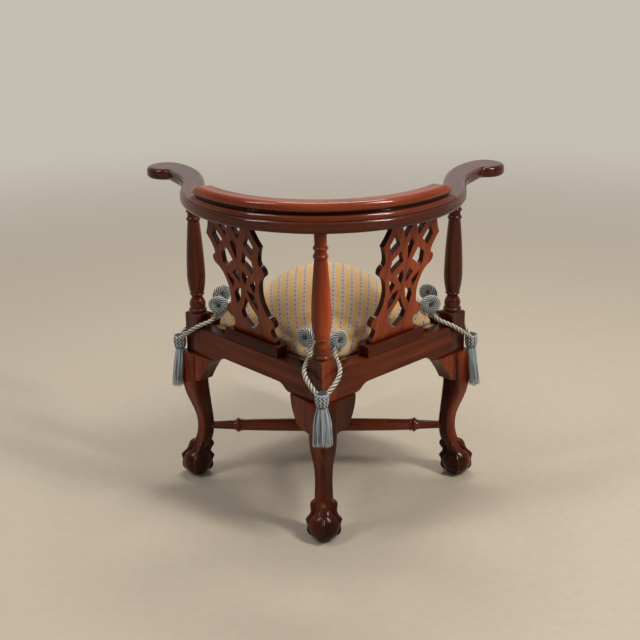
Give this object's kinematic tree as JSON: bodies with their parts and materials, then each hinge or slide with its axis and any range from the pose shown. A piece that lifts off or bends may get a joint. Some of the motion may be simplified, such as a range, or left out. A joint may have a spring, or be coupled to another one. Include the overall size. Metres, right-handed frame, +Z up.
{
  "type": "child's corner armchair",
  "caption": "Child's mahogany corner armchair with a horseshoe arm on turned posts, pierced splats, ball-and-claw feet, and a striped cushion tied on with tasselled ropes.",
  "frame": {"origin": "on the floor under the middle of the seat", "axes": "+Z up; the back corner points along -Y and the open front corner along +Y; +X to the right seen from behind"},
  "size_m": [0.648, 0.5428, 0.572],
  "materials": {
    "mahogany": "glossy red-brown polish",
    "secondary_wood": "plain sawn softwood",
    "screw_steel": "plain steel",
    "cushion_fabric": "woven gold fabric with grey-blue stripes",
    "rope_cord": "twisted cream and grey-blue cord",
    "knot_thread": "woven grey-blue thread",
    "tassel_thread": "dusty blue thread"
  },
  "bodies": {
    "chair": {"back_leg": "mahogany", "right_leg": "mahogany", "front_leg": "mahogany", "left_leg": "mahogany", "back_post": "mahogany", "right_post": "mahogany", "left_post": "mahogany", "back_bracket_right": "mahogany", "back_bracket_left": "mahogany", "right_bracket_right": "mahogany", "right_bracket_left": "mahogany", "front_bracket_right": "mahogany", "front_bracket_left": "mahogany", "left_bracket_right": "mahogany", "left_bracket_left": "mahogany", "rail_back_right": "mahogany", "rail_front_right": "mahogany", "rail_front_left": "mahogany", "rail_back_left": "mahogany", "arm_right": "mahogany", "arm_left": "mahogany", "crest": "mahogany", "splat_right": "mahogany", "splat_left": "mahogany", "shoe_right": "mahogany", "shoe_left": "mahogany", "stretcher_fore": "mahogany", "stretcher_side": "mahogany", "corner_block_back": "secondary_wood", "corner_block_right": "secondary_wood", "corner_block_front": "secondary_wood", "corner_block_left": "secondary_wood", "seat_board": "secondary_wood", "crest_screws": "screw_steel", "corner_screws": "screw_steel", "cushion": "cushion_fabric", "back_rope_right": "rope_cord", "back_rope_left": "rope_cord", "right_rope_right": "rope_cord", "right_rope_left": "rope_cord", "left_rope_right": "rope_cord", "left_rope_left": "rope_cord", "back_rosette_right": "rope_cord", "back_rosette_left": "rope_cord", "right_rosette_right": "rope_cord", "right_rosette_left": "rope_cord", "left_rosette_right": "rope_cord", "left_rosette_left": "rope_cord", "back_knot": "knot_thread", "right_knot": "knot_thread", "left_knot": "knot_thread"},
    "back_tassel": {"back_tassel": "tassel_thread"},
    "right_tassel": {"right_tassel": "tassel_thread"},
    "left_tassel": {"left_tassel": "tassel_thread"}
  },
  "joints": [
    {"name": "back_tassel_swing", "type": "hinge", "parent": "chair", "child": "back_tassel", "pos_m": [0, -0.2585, 0.248], "axis": [-1, 0, 0], "range_deg": [0, 45]},
    {"name": "right_tassel_swing", "type": "hinge", "parent": "chair", "child": "right_tassel", "pos_m": [0.2585, 0, 0.248], "axis": [0, -1, 0], "range_deg": [0, 45]},
    {"name": "left_tassel_swing", "type": "hinge", "parent": "chair", "child": "left_tassel", "pos_m": [-0.2585, 0, 0.248], "axis": [0, 1, 0], "range_deg": [0, 45]}
  ]
}
